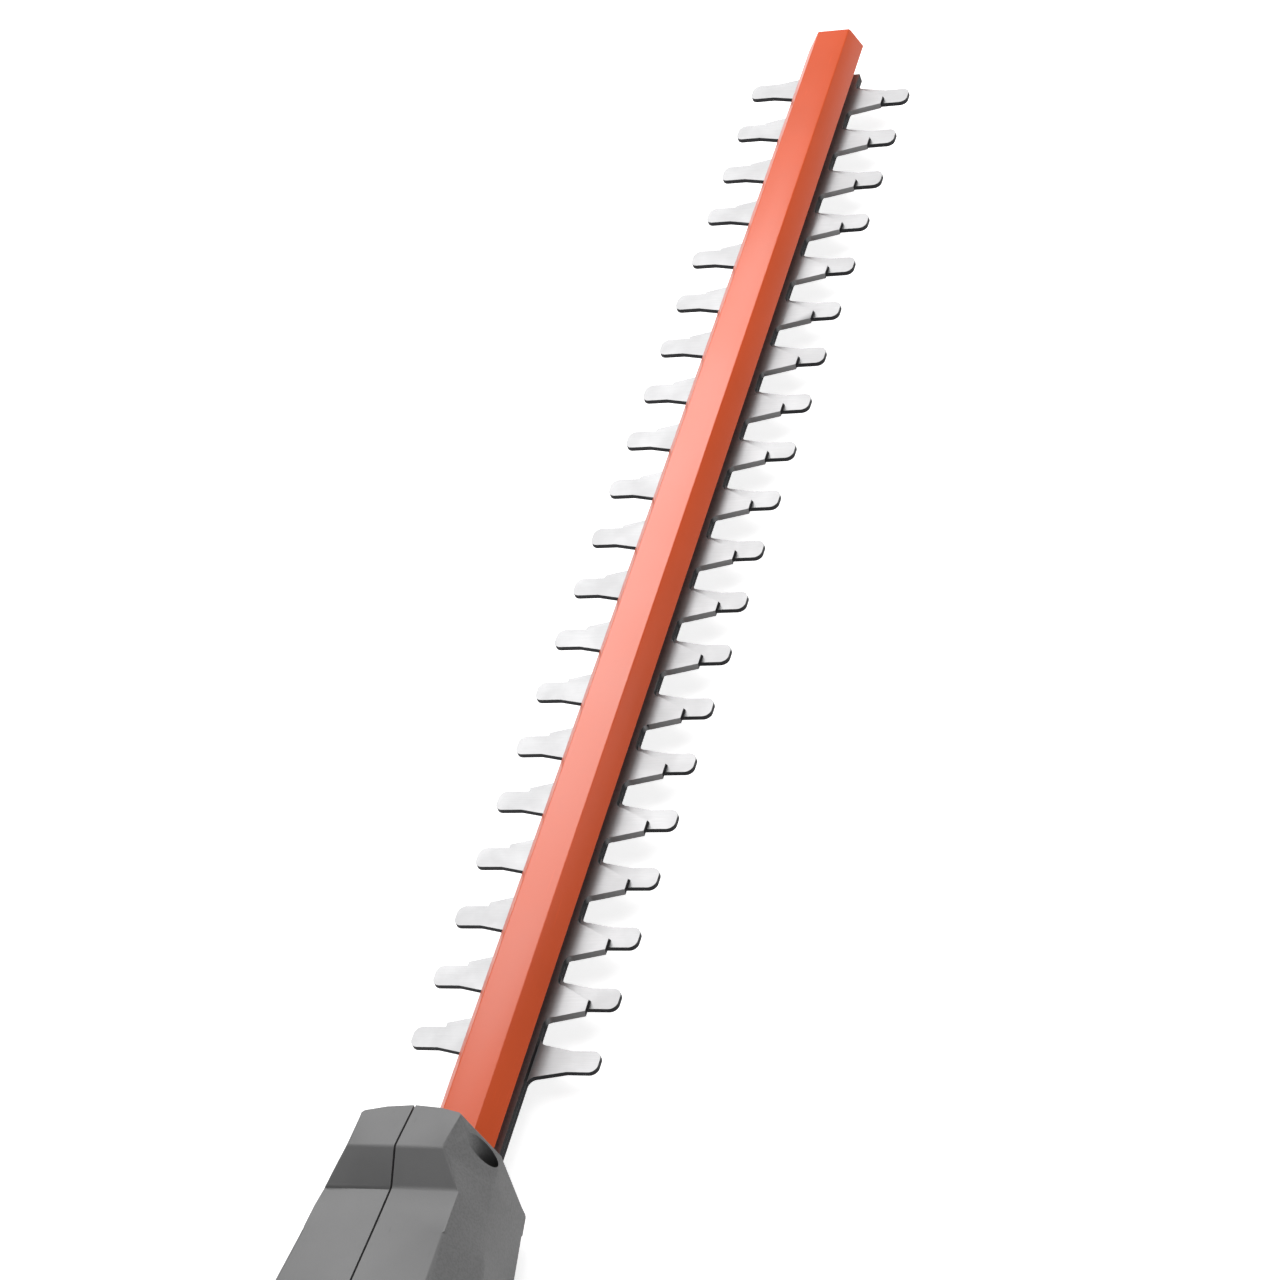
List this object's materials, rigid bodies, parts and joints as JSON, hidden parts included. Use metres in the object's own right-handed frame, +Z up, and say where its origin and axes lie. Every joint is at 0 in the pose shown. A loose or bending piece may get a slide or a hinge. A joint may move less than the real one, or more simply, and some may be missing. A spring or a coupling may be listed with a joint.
{
  "type": "hedge trimmer",
  "caption": "Cordless hedge trimmer with a two-sided reciprocating toothed blade under a faceted cover, a front bow handle and a rear loop handle with trigger and slide-off battery.",
  "frame": {"origin": "centre of the whole tool's box, on the surface that it lies on", "axes": "+X right, +Y along the blades towards their tip, +Z up"},
  "size_m": [0.161, 1.087, 0.178],
  "materials": {
    "housing_grey": "satin moulded grey with a fine grain",
    "cover_orange": "satin orange powder coat",
    "bar_black": "black oxide",
    "blade_steel": "ground and polished",
    "plated_steel": "zinc plated",
    "cast_aluminium": "as cast",
    "hard_steel": "ground",
    "bronze": "plain",
    "motor_steel": "drawn and plated",
    "black_plastic": "moulded black",
    "soft_grip": "soft overmould",
    "dark_grey_plastic": "moulded dark grey",
    "orange_plastic": "moulded orange",
    "lead_rubber": "insulated lead",
    "board_green": "solder mask",
    "cell_can": "wrapped cells"
  },
  "bodies": {
    "tool": {"left_housing": "housing_grey", "right_housing": "housing_grey", "support_bar": "bar_black", "blade_cover": "cover_orange", "cover_tip_plug": "bar_black", "cover_slot_nuts": "plated_steel", "blade_bolts": "plated_steel", "blade_washers": "plated_steel", "gear_case": "cast_aluminium", "gear_case_plate": "cast_aluminium", "gear_case_screws": "plated_steel", "bar_clamp_screws": "plated_steel", "lower_bush": "bronze", "crank_bearing": "hard_steel", "motor_can": "motor_steel", "motor_screws": "plated_steel", "motor_end_cap": "black_plastic", "motor_bearings": "hard_steel", "motor_magnets": "motor_steel", "motor_brushes": "bronze", "nose_plate": "hard_steel", "nose_screws": "plated_steel", "housing_screws": "plated_steel", "hand_guard": "black_plastic", "front_handle": "dark_grey_plastic", "trigger_switch": "black_plastic", "trigger_spring": "hard_steel", "motor_leads": "lead_rubber", "battery_leads": "lead_rubber", "control_board": "board_green", "board_components": "black_plastic", "foot_rails": "plated_steel", "terminal_blades": "bronze", "left_grip_pad": "soft_grip", "right_grip_pad": "soft_grip"},
    "upper_blade_body": {"upper_blade": "blade_steel"},
    "lower_blade_body": {"lower_blade": "blade_steel"},
    "crank": {"crank_gear": "hard_steel", "crank_shaft": "hard_steel", "upper_eccentric": "hard_steel", "lower_eccentric": "hard_steel"},
    "rotor": {"motor_shaft": "hard_steel", "motor_pinion": "hard_steel", "armature": "motor_steel", "commutator": "bronze", "cooling_fan": "black_plastic"},
    "trigger_body": {"trigger": "orange_plastic"},
    "lock_off": {"lock_off_button": "orange_plastic"},
    "switch_bar": {"front_switch_bar": "soft_grip"},
    "battery": {"battery_tray": "black_plastic", "battery_lid": "black_plastic", "battery_cells": "cell_can", "battery_contacts": "bronze"},
    "release": {"release_button": "orange_plastic"}
  },
  "joints": [
    {"name": "crank_spin", "type": "hinge", "parent": "tool", "child": "crank", "pos_m": [0, -0.1685, 0.02], "axis": [0, 0, 1], "range_deg": [-91, 91]},
    {"name": "upper_blade_slide", "type": "slide", "parent": "tool", "child": "upper_blade_body", "axis": [0, 1, 0], "range_m": [-0.008, 0.008]},
    {"name": "lower_blade_slide", "type": "slide", "parent": "tool", "child": "lower_blade_body", "axis": [0, 1, 0], "range_m": [-0.0081, 0.0081]},
    {"name": "rotor_spin", "type": "hinge", "parent": "tool", "child": "rotor", "pos_m": [0, -0.19912, 0.02], "axis": [0, 0, 1], "range_deg": [-405, 405]},
    {"name": "trigger_press", "type": "slide", "parent": "tool", "child": "trigger_body", "axis": [0, 0, 1], "range_m": [0, 0.004], "stiffness_N_per_m": 700, "springref_m": -0.002, "deforming": ["trigger_spring"]},
    {"name": "lock_off_press", "type": "slide", "parent": "tool", "child": "lock_off", "axis": [0, 0, -1], "range_m": [0, 0.003], "stiffness_N_per_m": 600, "springref_m": -0.002},
    {"name": "switch_bar_press", "type": "slide", "parent": "tool", "child": "switch_bar", "axis": [0, 0, 1], "range_m": [0, 0.005], "stiffness_N_per_m": 700, "springref_m": -0.002},
    {"name": "battery_slide", "type": "slide", "parent": "tool", "child": "battery", "axis": [0, -1, 0], "range_m": [0, 0.11]},
    {"name": "release_press", "type": "slide", "parent": "battery", "child": "release", "axis": [0, 0, -1], "range_m": [0, 0.003], "stiffness_N_per_m": 500, "springref_m": -0.002}
  ],
  "couplings": [
    {"joint": "lower_blade_slide", "follows": "upper_blade_slide", "ratio": -1},
    {"joint": "crank_spin", "follows": "upper_blade_slide", "rad_per_m": 196.35},
    {"joint": "rotor_spin", "follows": "upper_blade_slide", "rad_per_m": -872.66}
  ]
}
